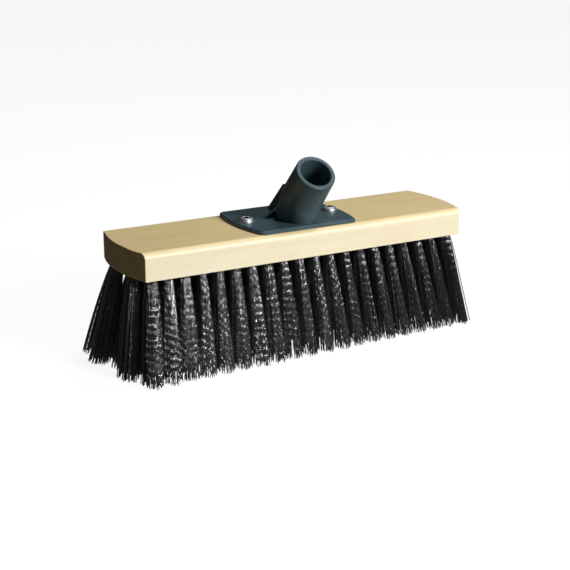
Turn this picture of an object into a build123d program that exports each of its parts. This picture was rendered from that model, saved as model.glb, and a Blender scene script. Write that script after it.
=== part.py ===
"""Push broom head: a drilled wooden block, tufts held by anchors, and a screwed-on handle socket.

The origin is on the floor under the middle of the block. X runs along the block, the socket
leans towards -Y, and the tips of the bristles stand on Z = 0. Lengths are in millimetres and
angles in degrees.
"""
from build123d import *
from math import cos, radians, sin
import os

os.makedirs("parts", exist_ok=True)

# ---- driving dimensions: block ----
block_length = 300.0
block_width = 82.0
block_thickness = 22.0
end_bulge = 6.8  # how far each curved end stands out past its corners
long_edge_radius = 5.0
arris_radius = 0.5  # sanded edge round the top of the ends
wood_over_holes = 10.0  # left between the bottom of a tuft hole and the top of the block

# ---- driving dimensions: tufts ----
bristle_length = 78.0  # from the underside of the block to the floor
columns = 20  # tufts in each outer row and in the middle row
rows = 5  # every second row is shifted by half a pitch and has one tuft more
column_pitch = 14.2
row_pitch = 15.5
hole_radius = 3.25
tuft_clearance = 0.05  # between a tuft and the wall of its hole
tuft_neck = 1.5  # straight part of a tuft below the block, before it spreads
tip_half_length = 158.0  # half of what the tips cover along X
tip_half_width = 57.0  # half of what the tips cover along Y
tip_gap = 0.6  # between neighbouring tufts at the floor

# ---- driving dimensions: tuft anchors, flat wire driven across each hole ----
anchor_bite = 0.7  # how far each end is driven into the wood
anchor_thickness = 0.5
anchor_height = 2.2
fold_height = 1.8  # bristle folded over the anchor, up to the bottom of the hole
anchor_clearance = 0.05

# ---- driving dimensions: handle socket ----
plate_length = 97.0
plate_width = 74.8
plate_thickness = 3.0
plate_end_bulge = 5.5
plate_corner_radius = 4.5
plate_bevel = 1.2
tube_outer_radius = 16.2  # at the mouth
tube_length = 28.7  # from the mouth to the body of the socket
tube_draft = 0.7  # how much wider the tube is at its lower end, on the radius
bore_radius = 12.5
bore_depth = 46.0
tube_tilt = 41.5  # from the vertical, towards -Y
mouth_y = -45.5
mouth_height = 46.8  # centre of the mouth above the block
rim_radius = 1.4
bore_lead_in = 0.6
body_half_width = 13.8  # oval foot of the body, at the top of the plate
body_half_depth = 23.0
body_y = -11.0
rib_thickness = 3.2
back_rib_crest_y = 4.2  # corner of the back rib, before it is rounded
back_rib_crest_height = 28.2  # above the block
back_rib_foot = 30.0  # where the back rib ends on the plate
back_rib_round = 5.0
side_rib_reach = 23.0  # where the side ribs end on the plate
side_rib_apex = 15.2  # height above the block where the two side ribs would meet

# ---- driving dimensions: screws ----
screw_x = 38.7
screw_y = -2.5
screw_radius = 2.3
screw_head_radius = 6.2
screw_head_height = 3.4
screw_head_rim = 1.0
screw_head_flat = 3.4  # radius of the flat on top of the dome
screw_point = 2.5
screw_end_wood = 1.3  # wood left between the point of a screw and the level of the tuft holes
screw_clearance = 0.05
plate_hole_clearance = 0.35
recess_span = 7.0
recess_slot = 2.2
recess_well = 2.1  # radius of the round middle of the recess
recess_depth = 2.2
recess_taper = 12.0

# ---- derived levels and spreads ----
underside = bristle_length
block_top = underside + block_thickness
plate_top = block_top + plate_thickness
hole_depth = block_thickness - wood_over_holes
tuft_radius = hole_radius - tuft_clearance
hole_overrun = hole_radius  # the drill starts this far outside the sloping mouth of a hole
last_column = column_pitch * (columns - 1) / 2
last_row = row_pitch * (rows - 1) / 2
spread_x = tip_half_length / (last_column + column_pitch)
spread_y = tip_half_width / (last_row + row_pitch / 2)
tip_radius_x = (column_pitch * spread_x - tip_gap) / 2
tip_radius_y = (row_pitch * spread_y - tip_gap) / 2


def bulged_oblong(length, width, bulge):
    """Face with two straight sides along X and two ends that are arcs."""
    corner_x = length / 2 - bulge
    with BuildSketch() as oblong:
        with BuildLine():
            front = Line((-corner_x, -width / 2), (corner_x, -width / 2))
            right = ThreePointArc(front @ 1, (length / 2, 0), (corner_x, width / 2))
            back = Line(right @ 1, (-corner_x, width / 2))
            ThreePointArc(back @ 1, (-length / 2, 0), front @ 0)
        make_face()
    return oblong.sketch


def tuft_places(column):
    """Places (x, y) of the tufts of one column at the underside, front row first."""
    places = []
    for row in range(rows):
        x, y = column * column_pitch - last_column, row * row_pitch - last_row
        if row % 2:
            x += column_pitch / 2
            if column == 0:
                places.append((x - column_pitch, y))
        places.append((x, y))
    return places


def tuft_plane(place, height):
    """Plane square to a tuft, at a height above the underside measured along the tuft."""
    x, y = place
    root = Vector(x, y, underside)
    tip = Vector(x * spread_x, y * spread_y, 0)
    up = (root - tip).normalized()
    across = Vector(0, 1, 0).cross(up).normalized()
    return Plane(origin=root + up * height, x_dir=across, z_dir=up)


def save(part, name):
    part.label = name
    export_step(part, f"parts/{name}.step")


places_by_column = [tuft_places(column) for column in range(columns)]
all_places = [place for places in places_by_column for place in places]
anchor_base = hole_depth - fold_height - anchor_height  # above the underside, along the tuft

# ---- block: planed wood, drilled from below ----
shank_depth = wood_over_holes - screw_end_wood
with BuildPart() as block:
    with BuildSketch(Plane.XY.offset(underside)):
        add(bulged_oblong(block_length, block_width, end_bulge))
    extrude(amount=block_thickness)
    fillet(block.edges().filter_by(Axis.X).group_by(Axis.Z)[-1], long_edge_radius)
    top_face = block.faces().sort_by(Axis.Z)[-1]
    fillet(top_face.edges().filter_by(GeomType.CIRCLE), arris_radius)
    with BuildSketch(*[tuft_plane(place, -hole_overrun) for place in all_places]):
        Circle(hole_radius)
    extrude(amount=hole_overrun + hole_depth, mode=Mode.SUBTRACT)
    with BuildSketch(*[tuft_plane(place, anchor_base - anchor_clearance) for place in all_places]):
        slot_length = 2 * (hole_radius + anchor_bite + anchor_clearance)
        Rectangle(slot_length, anchor_thickness + 2 * anchor_clearance)
    extrude(amount=anchor_height + 2 * anchor_clearance, mode=Mode.SUBTRACT)
    with BuildSketch(Plane.XY.offset(block_top)):
        with Locations((-screw_x, screw_y), (screw_x, screw_y)):
            Circle(screw_radius + screw_clearance)
    extrude(amount=-(shank_depth + screw_clearance), mode=Mode.SUBTRACT)
save(block.part, "block")

# ---- tufts: bristles folded in half over their anchors, one node for each column ----
for column, places in enumerate(places_by_column, start=1):
    with BuildPart() as tufts:
        for place in places:
            neck = tuft_plane(place, -tuft_neck)
            with BuildSketch(neck):
                Circle(tuft_radius)
            extrude(amount=tuft_neck + hole_depth - tuft_clearance)
            with BuildSketch(neck):
                Circle(tuft_radius)
            with BuildSketch(Plane.XY):
                with Locations((place[0] * spread_x, place[1] * spread_y)):
                    Ellipse(tip_radius_x, tip_radius_y)
            loft()
        with BuildSketch(*[tuft_plane(place, anchor_base - anchor_clearance) for place in places]):
            Rectangle(2 * hole_radius, anchor_thickness + 2 * anchor_clearance)
        extrude(amount=anchor_height + 2 * anchor_clearance, mode=Mode.SUBTRACT)
    save(tufts.part, f"tufts_{column:02d}")

    with BuildPart() as anchors:
        with BuildSketch(*[tuft_plane(place, anchor_base) for place in places]):
            Rectangle(2 * (hole_radius + anchor_bite), anchor_thickness)
        extrude(amount=anchor_height)
    save(anchors.part, f"anchors_{column:02d}")

# ---- handle socket: base plate, sloping tube on an oval body, and ribs in one moulding ----
mouth_plane = Plane(
    origin=(0, mouth_y, block_top + mouth_height),
    x_dir=(1, 0, 0),
    z_dir=(0, -sin(radians(tube_tilt)), cos(radians(tube_tilt))),
)
tube_end = mouth_plane.offset(-tube_length)

with BuildPart() as socket:
    with BuildSketch(tube_end):
        Circle(tube_outer_radius + tube_draft)
    with BuildSketch(mouth_plane):
        Circle(tube_outer_radius)
    loft()
    fillet(socket.edges().sort_by(Axis.Z)[-1], rim_radius)
    with BuildSketch(tube_end):
        Circle(tube_outer_radius + tube_draft)
    with BuildSketch(Plane.XY.offset(plate_top)):
        with Locations((0, body_y)):
            Ellipse(body_half_width, body_half_depth)
    loft()
    with BuildSketch(Plane.YZ) as back_rib:
        with BuildLine():
            inside_y = tube_end.origin.Y
            Polyline(
                (inside_y, block_top + back_rib_crest_height),
                (back_rib_crest_y, block_top + back_rib_crest_height),
                (back_rib_foot, plate_top),
                (back_rib_foot, block_top + plate_thickness / 2),
                (inside_y, block_top + plate_thickness / 2),
                close=True,
            )
        make_face()
        crest = (0, back_rib_crest_y, block_top + back_rib_crest_height)
        fillet(back_rib.vertices().sort_by_distance(crest)[0], back_rib_round)
    extrude(amount=rib_thickness / 2, both=True)
    with BuildSketch(Plane.XZ):
        with BuildLine():
            Polyline(
                (0, block_top + side_rib_apex),
                (side_rib_reach, plate_top),
                (side_rib_reach, block_top + plate_thickness / 2),
                (-side_rib_reach, block_top + plate_thickness / 2),
                (-side_rib_reach, plate_top),
                close=True,
            )
        make_face()
    extrude(amount=rib_thickness / 2, both=True)
    with BuildSketch(Plane.XY.offset(block_top)) as plate_outline:
        add(bulged_oblong(plate_length, plate_width, plate_end_bulge))
        fillet(plate_outline.vertices(), plate_corner_radius)
    with BuildPart(mode=Mode.PRIVATE) as plate:
        add(plate_outline.sketch)
        extrude(amount=plate_thickness)
        chamfer(plate.faces().sort_by(Axis.Z)[-1].edges(), plate_bevel)
    add(plate.part)
    with BuildSketch(Plane.XY.offset(plate_top)):
        with Locations((-screw_x, screw_y), (screw_x, screw_y)):
            Circle(screw_radius + plate_hole_clearance)
    extrude(amount=-plate_thickness, mode=Mode.SUBTRACT)
    with BuildSketch(mouth_plane):
        Circle(bore_radius)
    extrude(amount=-bore_depth, mode=Mode.SUBTRACT)
    with BuildSketch(mouth_plane):
        Circle(bore_radius + bore_lead_in)
    extrude(amount=-bore_lead_in, taper=45, mode=Mode.SUBTRACT)
save(socket.part, "handle_socket")

# ---- screws: domed heads on the plate, shanks in the block ----
shank_end = plate_thickness + shank_depth
for side, x in (("left", -screw_x), ("right", screw_x)):
    with BuildPart() as screw:
        with BuildSketch(Plane.XZ):
            with BuildLine():
                flat = Line((0, screw_head_height), (screw_head_flat, screw_head_height))
                dome = TangentArc(flat @ 1, (screw_head_radius, screw_head_rim), tangent=flat % 1)
                Polyline(
                    dome @ 1,
                    (screw_head_radius, 0),
                    (screw_radius, 0),
                    (screw_radius, screw_point - shank_end),
                    (0, -shank_end),
                    (0, screw_head_height),
                )
            make_face()
        revolve(axis=Axis.Z)
        with BuildSketch(Plane.XY.offset(screw_head_height)):
            Rectangle(recess_span, recess_slot)
            Rectangle(recess_slot, recess_span)
            Circle(recess_well)
        extrude(amount=-recess_depth, taper=recess_taper, mode=Mode.SUBTRACT)
    save(screw.part.moved(Location((x, screw_y, plate_top))), f"screw_{side}")
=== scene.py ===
"""Looks of the push broom head: lacquered block, moulded socket, zinc screws, crimped bristles."""
from math import pi, radians

import bpy
import numpy as np
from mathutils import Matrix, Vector


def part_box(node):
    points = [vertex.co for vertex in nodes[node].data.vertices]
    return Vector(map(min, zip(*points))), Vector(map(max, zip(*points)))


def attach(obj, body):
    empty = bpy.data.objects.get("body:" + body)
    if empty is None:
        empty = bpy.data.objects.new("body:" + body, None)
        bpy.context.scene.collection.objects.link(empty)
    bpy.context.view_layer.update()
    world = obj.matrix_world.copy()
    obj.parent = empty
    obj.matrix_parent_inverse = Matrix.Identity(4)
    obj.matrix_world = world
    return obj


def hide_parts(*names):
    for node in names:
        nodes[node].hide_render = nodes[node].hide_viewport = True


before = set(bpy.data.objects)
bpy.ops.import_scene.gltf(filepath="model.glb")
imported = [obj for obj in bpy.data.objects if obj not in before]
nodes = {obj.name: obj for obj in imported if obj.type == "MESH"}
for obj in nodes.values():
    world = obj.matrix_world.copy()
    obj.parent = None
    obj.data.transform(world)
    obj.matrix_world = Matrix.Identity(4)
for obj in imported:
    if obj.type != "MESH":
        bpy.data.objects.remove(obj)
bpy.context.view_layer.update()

scene = bpy.context.scene
scene.view_settings.view_transform = "Standard"
scene.render.film_transparent = False

# ---------------------------------------------------------------- camera
# A long lens, turned to the left of square and a little above the block.
view_azimuth, view_elevation, view_distance = radians(-29.54), radians(17.09), 1.0605
view_target = Vector((-0.0018, 0.0, 0.0439))
outward = Vector((
    np.sin(view_azimuth) * np.cos(view_elevation),
    -np.cos(view_azimuth) * np.cos(view_elevation),
    np.sin(view_elevation),
))
camera = bpy.data.objects.new("camera", bpy.data.cameras.new("camera"))
camera.data.lens, camera.data.sensor_width = 81.16, 36.0
camera.location = view_target + outward * view_distance
camera.rotation_euler = (-outward).to_track_quat("-Z", "Y").to_euler()
scene.collection.objects.link(camera)
scene.camera = camera


# ---------------------------------------------------------------- light and stage
def softbox(name, azimuth, elevation, distance, size, level):
    """Square lamp aimed at the block. level is what it gives a white surface that faces it."""
    towards = Vector((
        np.sin(radians(azimuth)) * np.cos(radians(elevation)),
        -np.cos(radians(azimuth)) * np.cos(radians(elevation)),
        np.sin(radians(elevation)),
    ))
    lamp = bpy.data.lights.new(name, "AREA")
    lamp.shape, lamp.size = "SQUARE", size
    lamp.energy = level * pi**2 * distance**2
    box = bpy.data.objects.new(name, lamp)
    box.location = Vector((0, 0, 0.09)) + towards * distance
    box.rotation_euler = (-towards).to_track_quat("-Z", "Y").to_euler()
    scene.collection.objects.link(box)


softbox("front_softbox", azimuth=20, elevation=22, distance=2.2, size=0.50, level=1.18)
softbox("top_softbox", azimuth=112, elevation=68, distance=1.1, size=0.4, level=0.43)


class Shade:
    """One socket of a node tree. Arithmetic on it adds Math nodes."""

    def __init__(self, tree, socket=None):
        self.tree, self.socket = tree, socket

    def node(self, kind, settings=None, sockets=None, out=0):
        """A new node of a kind, with its settings and then its sockets filled in."""
        made = self.tree.nodes.new("ShaderNode" + kind)
        for name, value in (settings or {}).items():
            if name == "stops":
                ramp = made.color_ramp
                while len(ramp.elements) < len(value):
                    ramp.elements.new(1.0)
                for stop, (place, colour) in zip(ramp.elements, value):
                    stop.position, stop.color = place, (*colour, 1.0)
            else:
                setattr(made, name, value)
        for name, value in (sockets or {}).items():
            if isinstance(value, Shade):
                self.tree.links.new(value.socket, made.inputs[name])
            else:
                made.inputs[name].default_value = value
        return Shade(self.tree, made.outputs[out] if made.outputs else None)

    def math(self, operation, *values, clamp=False):
        settings = {"operation": operation, "use_clamp": clamp}
        return self.node("Math", settings, dict(enumerate(values)))

    def __add__(self, other):
        return self.math("ADD", self, other)

    def __sub__(self, other):
        return self.math("SUBTRACT", self, other)

    def __rsub__(self, other):
        return self.math("SUBTRACT", other, self)

    def __mul__(self, other):
        return self.math("MULTIPLY", self, other)

    __radd__, __rmul__ = __add__, __mul__

    def above(self, low, high):
        """0 where this is under low, 1 where it is over high, and smooth between."""
        sockets = {"Value": self, "From Min": low, "From Max": high}
        return self.node("MapRange", {"interpolation_type": "SMOOTHSTEP"}, sockets)

    def between(self, colour, other):
        """Mix of two colours, with this as the share of the second."""
        colours = [c if isinstance(c, Shade) else (*c, 1.0) for c in (colour, other)]
        return self.node("Mix", {"data_type": "RGBA"}, {0: self, 6: colours[0], 7: colours[1]}, 2)

    def stretched(self, x, y, z):
        """This vector, scaled along each axis."""
        return self.node("VectorMath", {"operation": "MULTIPLY"}, {0: self, 1: (x, y, z)})

    def noise(self, scale, detail=2.0, roughness=0.5):
        """Noise over this vector."""
        sockets = {"Vector": self, "Scale": scale, "Detail": detail, "Roughness": roughness}
        return self.node("TexNoise", None, sockets)


def blank_tree(block):
    block.use_nodes = True
    block.node_tree.nodes.clear()
    return Shade(block.node_tree)


# The lamps and a low grey surround light the broom. Eye rays and rays through glass see a white
# room. Mirror rays see the backdrop and the floor at one dark grey level, and it is darker overhead.
world = bpy.data.worlds.new("room")
scene.world = world
air = blank_tree(world)
eye, mirror, through = [air.node("LightPath", out=f"Is {kind} Ray")
                        for kind in ("Camera", "Glossy", "Transmission")]
surround_level, backdrop_level, ceiling_level, backdrop_top = 0.03, 0.07, 0.03, 0.16
rise = air.node("SeparateXYZ", None, {0: air.node("TexCoord", out="Generated")}, out="Z")
room = backdrop_level - rise.above(0.0, backdrop_top) * (backdrop_level - ceiling_level)
seen = eye.math("MAXIMUM", eye, through)
strength = seen + (1.0 - seen) * (mirror * room + (1.0 - mirror) * surround_level)
light = air.node("Background", None, {"Strength": strength, "Color": (1, 1, 1, 1)})
air.node("OutputWorld", None, {"Surface": light})

# Pale floor. It is white to the eye, keeps the shadow of the broom, and bounces little light.
floor_mesh = bpy.data.meshes.new("floor")
reach = 6.0
white_level, white_share = 1.12, 0.82
floor_mesh.from_pydata([(-reach, -reach, 0), (reach, -reach, 0), (reach, reach, 0), (-reach, reach, 0)],
                       [], [(0, 1, 2, 3)])
floor = bpy.data.objects.new("floor", floor_mesh)
scene.collection.objects.link(floor)
floor_paint = bpy.data.materials.new("floor_paint")
paint = blank_tree(floor_paint)
eye, mirror, through = [paint.node("LightPath", out=f"Is {kind} Ray")
                        for kind in ("Camera", "Glossy", "Transmission")]
lit = paint.node("BsdfDiffuse", None, {"Color": (0.8, 0.8, 0.8, 1)})
dim = paint.node("BsdfDiffuse", None, {"Color": (0.22, 0.22, 0.22, 1)})
seen = eye.math("MAXIMUM", eye, through)
white = paint.node("Emission", None, {"Color": (1, 1, 1, 1), "Strength": white_level})
grey = paint.node("Emission", None, {"Color": (1, 1, 1, 1), "Strength": backdrop_level})
glow = paint.node("MixShader", None, {0: white_share, 1: lit, 2: white})
unseen = paint.node("MixShader", None, {0: mirror, 1: dim, 2: grey})
painted = paint.node("MixShader", None, {0: seen, 1: unseen, 2: glow})
paint.node("OutputMaterial", None, {"Surface": painted})
floor_mesh.materials.append(floor_paint)


# ---------------------------------------------------------------- block
# One piece of pale hardwood, planed, rounded along both long top edges and lacquered. The upward faces carry
# painted shade, a darker tan than the sides.
# The sawn ends show end grain, which takes the lacquer darker, and they are darkened further with painted
# shade.
def surface(name):
    """New material, with its shader node and a Shade to build its inputs from."""
    material = bpy.data.materials.new(name)
    tree = blank_tree(material)
    shader = tree.node("BsdfPrincipled")
    tree.node("OutputMaterial", None, {"Surface": shader})
    return material, shader.socket.node, tree


def feed(shader, sockets):
    """Fills sockets of a shader node with numbers, colours or Shades."""
    for name, value in sockets.items():
        if isinstance(value, Shade):
            value.tree.links.new(value.socket, shader.inputs[name])
        else:
            shader.inputs[name].default_value = value


wood, wood_shader, grain = surface("lacquered_wood")
place = grain.node("TexCoord", out="Object")
facing = grain.node("SeparateXYZ", None, {0: grain.node("NewGeometry", out="Normal")}, out="Z")
endwise = grain.node("SeparateXYZ", None, {0: grain.node("NewGeometry", out="Normal")}, out="X")
streaks = place.stretched(14, 230, 230).noise(1.0, 4.0, 0.55)
pores = place.stretched(330, 2600, 2600).noise(1.0, 2.0, 0.5)
cloud = place.noise(22.0, 3.0)
side = streaks.above(0.3, 0.7).between((0.785, 0.69, 0.475), (0.83, 0.745, 0.54))
# Painted shade: faces that point up get a darker, warmer tan than the sides.
top_painted_shade = streaks.above(0.3, 0.7).between((0.70, 0.545, 0.265), (0.77, 0.615, 0.325))
# End grain plus painted shade: the sawn ends get a much darker, more orange colour than the long faces.
end = streaks.above(0.3, 0.7).between((0.46, 0.29, 0.085), (0.58, 0.38, 0.13))
plain = facing.above(0.35, 0.95).between(side, top_painted_shade)
end_grain_and_painted_shade = endwise.math("ABSOLUTE", endwise).above(0.80, 0.90).between(plain, end)
flecks = pores.above(0.60, 0.72) * 0.22
colour = flecks.between(end_grain_and_painted_shade, (0.52, 0.36, 0.17))
relief = grain.node("Bump", None, {
    "Strength": 0.10, "Distance": 0.0002, "Height": streaks + pores * 0.5,
})
feed(wood_shader, {
    "Base Color": (cloud.above(0.35, 0.75) * 0.10).between(colour, (0.70, 0.52, 0.27)),
    "Roughness": 0.46 + streaks * 0.12,
    "Normal": relief,
    "Coat Weight": 0.06,
    "Coat Roughness": 0.32,
})
block = nodes["block"]
block.data.materials.clear()
block.data.materials.append(wood)

# ---------------------------------------------------------------- handle socket
# Injection-moulded in blue-black plastic: plate, leaning tube and ribs in one piece, with the
# fine satin texture of the mould.
plastic, plastic_shader, moulded = surface("moulded_plastic")
place = moulded.node("TexCoord", out="Object")
texture = place.noise(2600.0, 2.0)
flow = place.noise(45.0, 3.0)
feed(plastic_shader, {
    "Base Color": flow.above(0.3, 0.7).between((0.045, 0.079, 0.092), (0.055, 0.095, 0.112)),
    "Roughness": 0.34 + flow * 0.12,
    "Specular IOR Level": 0.34,
    "Normal": moulded.node("Bump", None, {"Strength": 0.12, "Distance": 0.00012, "Height": texture}),
})
socket = nodes["handle_socket"]
socket.data.materials.clear()
socket.data.materials.append(plastic)

# ---------------------------------------------------------------- screws
# Bright zinc-plated steel with wide domed heads. The cross recess is painted near black inside, as painted
# shade.
zinc, zinc_shader, plating = surface("bright_zinc")
place = plating.node("TexCoord", out="Object")
brushed = place.noise(1500.0, 2.0)
axis_x = (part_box("screw_right")[0].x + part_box("screw_right")[1].x) / 2
axis_y = (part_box("screw_right")[0].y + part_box("screw_right")[1].y) / 2
head_top, recess_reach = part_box("screw_right")[1].z, 0.0034
across, back, height = [plating.node("SeparateXYZ", None, {0: place}, out=name) for name in "XYZ"]
out_x, out_y = across.math("ABSOLUTE", across) - axis_x, back - axis_y
from_axis = out_x.math("SQRT", out_x * out_x + out_y * out_y)
# Painted shade: inside the cross recess of each head the colour is near black.
recess_painted_shade = (1.0 - from_axis.above(recess_reach, recess_reach + 0.0002)) \
    * (head_top - height).above(0.0, 0.0002)
bright = brushed.above(0.3, 0.7).between((0.40, 0.43, 0.45), (0.52, 0.54, 0.56))
feed(zinc_shader, {
    "Base Color": recess_painted_shade.between(bright, (0.02, 0.02, 0.02)),
    "Metallic": 1.0,
    "Roughness": 0.40 + brushed * 0.16 + recess_painted_shade * 0.2,
})
for name in ("screw_left", "screw_right"):
    nodes[name].data.materials.clear()
    nodes[name].data.materials.append(zinc)

# ---------------------------------------------------------------- tuft anchors
# Short strips of flat steel wire, driven across the tuft holes inside the block.
wire, wire_shader, drawn = surface("flat_wire")
scratches = drawn.node("TexCoord", out="Object").stretched(400, 4000, 4000).noise(1.0)
feed(wire_shader, {
    "Base Color": scratches.between((0.45, 0.45, 0.45), (0.62, 0.62, 0.61)),
    "Metallic": 1.0,
    "Roughness": 0.35 + scratches * 0.2,
})
for name, node in nodes.items():
    if name.startswith("anchors"):
        node.data.materials.clear()
        node.data.materials.append(wire)

# ---------------------------------------------------------------- bristles
# Black crimped plastic filament, folded over the anchors in bundles and trimmed level. Filaments
# off one reel lie in strands and keep their crimps in step. The strands spread and mix below.
columns, rows = 20, 5
column_pitch, row_pitch = 0.0142, 0.0155
tip_half_length, tip_half_width = 0.161, 0.057
filament_radius, end_filament_radius = 0.00033, 0.00040
bundle_radius, in_hole = 0.0029, 0.008
crimp_pitch, crimp_size = 0.0056, 0.00019
strands, filament_sides = 20, 3
full_count, inner_count = 80, 44
points_per_crimp = 4
rim_crowding = 0.38
stray_share, stray_spread = 0.02, 0.4
even_flare, end_flare = (1.0, 0.8, 1.0), (0.42, 0.42, 1.0)
shortest_trim, trim_spread = 0.0002, 0.0007
tip_sweep, tip_turn = 0.12, 0.04
tip_shift = np.array((-0.004, 0.001, 0.0))
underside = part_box("block")[0].z
last_column, last_row = column_pitch * (columns - 1) / 2, row_pitch * (rows - 1) / 2
spread_x = tip_half_length / (last_column + column_pitch)
spread_y = tip_half_width / (last_row + row_pitch / 2)
tip_x, tip_y = column_pitch * spread_x / 2, row_pitch * spread_y / 2
draw = np.random.default_rng(7)

black, black_shader, filament = surface("black_filament")
dusty = filament.node("TexCoord", out="Object").noise(60.0, 2.0)
feed(black_shader, {
    "Base Color": (0.008, 0.009, 0.0095, 1.0),
    "Roughness": 0.19 + dusty * 0.07,
    "IOR": 2.0,
    "Specular IOR Level": 1.0,
    "Coat Weight": 1.0,
    "Coat Roughness": 0.2,
    "Coat IOR": 1.8,
})


def sunflower(count, turn, crowding=0.5):
    """Points spread over a disc of radius 1, evenly, or closer at the rim where crowding is under 0.5."""
    angle = np.arange(count) * pi * (3 - np.sqrt(5)) + turn
    out = ((np.arange(count) + 0.5) / count) ** crowding
    return np.stack([out * np.cos(angle), out * np.sin(angle)], 1)


def bundle(x, y, count):
    """Centre lines of one tuft's filaments, (count, points, 3), and the two axes across it."""
    root = np.array((x, y, underside))
    tip = tip_shift + (x * spread_x - tip_sweep * y * spread_y, y * spread_y + tip_turn * x, 0.0)
    length = np.linalg.norm(root - tip)
    up = (root - tip) / length
    across = np.cross((0, 1, 0), up)
    across /= np.linalg.norm(across)
    along = np.cross(up, across)
    spot = sunflower(count, draw.uniform(0, 2 * pi), rim_crowding) + draw.normal(0, 0.04, (count, 2))
    centres = sunflower(strands, draw.uniform(0, 2 * pi)) + draw.normal(0, 0.06, (strands, 2))
    own = np.argmin(((spot[:, None] - centres[None]) ** 2).sum(2), 1)
    steps = int(round(length / crimp_pitch * points_per_crimp))
    s = np.linspace(0, 1, steps + 1)[None, :, None]
    start = root + bundle_radius * (spot[:, :1] * across + spot[:, 1:] * along)
    wild = (draw.random((count, 1)) < stray_share) * draw.normal(0, stray_spread, (count, 1))
    foot = spot * (1 + draw.normal(0, 0.05, (count, 1)) + wild) + draw.normal(0, 0.07, (strands, 2))[own]
    end = tip + foot * (tip_x, tip_y) @ np.array([[1, 0, 0], [0, 1, 0]]) + draw.normal(0, 0.0003, (count, 3))
    end[:, 2] = shortest_trim + np.abs(draw.normal(0, trim_spread, count))
    flare = end_flare if abs(x) > last_column - column_pitch / 4 else even_flare
    ease = s ** (draw.uniform(0.85, 1.1, (strands, 1, 1))[own] * flare)
    line = root + (tip - root) * s + (start - root)[:, None] * (1 - ease) + (end - tip)[:, None] * ease
    phase = (draw.uniform(0, 2 * pi) + draw.normal(0, 0.8, strands))[own] + draw.normal(0, 0.2, count)
    pitch = crimp_pitch * (1 + draw.normal(0, 0.012, strands)[own] + draw.normal(0, 0.004, count))
    turn = 2 * pi * s[:, :, 0] * length / pitch[:, None] + phase[:, None]
    way = (pi / 2 + draw.normal(0, 0.5, strands))[own] + draw.normal(0, 0.15, count)
    sideways = np.cos(way)[:, None] * across + np.sin(way)[:, None] * along
    size = crimp_size * draw.uniform(0.8, 1.2, (strands, 1))[own] * draw.uniform(0.9, 1.1, (count, 1))
    line = line + (size * np.sin(turn))[:, :, None] * sideways[:, None]
    bend = draw.normal(0, 0.0005, (strands, 1, 1))[own] * np.sin(pi * s)
    line = line + bend * across
    hidden = (start + up * in_hole)[:, None]
    return np.concatenate([hidden, line], 1), across, along


for column in range(columns):
    corners, faces, shift = [], [], 0
    at_end = column in (0, columns - 1)
    places = [(column * column_pitch - last_column + (row % 2) * column_pitch / 2,
               row * row_pitch - last_row) for row in range(rows)]
    if column == 0:
        places += [(x - column_pitch, y) for x, y in places[1::2]]
    for x, y in places:
        count = full_count if at_end or abs(y) == last_row else inner_count
        lines, across, along = bundle(x, y, count)
        angle = 2 * pi * np.arange(filament_sides) / filament_sides
        radius = end_filament_radius if at_end else filament_radius
        ring = radius * (np.cos(angle)[:, None] * across + np.sin(angle)[:, None] * along)
        corners.append((lines[:, :, None] + ring).reshape(-1, 3))
        points = lines.shape[1]
        start = shift + np.arange(count * points).reshape(count, points)[:, :-1, None] * filament_sides
        here = np.arange(filament_sides)
        there = (here + 1) % filament_sides
        faces.append(np.stack([start + here, start + there, start + there + filament_sides,
                               start + here + filament_sides], -1).reshape(-1, 4))
        shift += count * points * filament_sides
    mesh = bpy.data.meshes.new(f"bristles_{column + 1:02d}")
    vertices, quads = np.concatenate(corners), np.concatenate(faces)
    mesh.vertices.add(len(vertices))
    mesh.vertices.foreach_set("co", vertices.astype(np.float32).ravel())
    mesh.loops.add(quads.size)
    mesh.loops.foreach_set("vertex_index", quads.astype(np.int32).ravel())
    mesh.polygons.add(len(quads))
    mesh.polygons.foreach_set("loop_start", np.arange(0, quads.size, 4, dtype=np.int32))
    mesh.polygons.foreach_set("loop_total", np.full(len(quads), 4, np.int32))
    mesh.update(calc_edges=True)
    mesh.polygons.foreach_set("use_smooth", np.ones(len(quads), bool))
    mesh.materials.append(black)
    tuft = bpy.data.objects.new(mesh.name, mesh)
    scene.collection.objects.link(tuft)
    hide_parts(f"tufts_{column + 1:02d}")
    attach(tuft, "root")
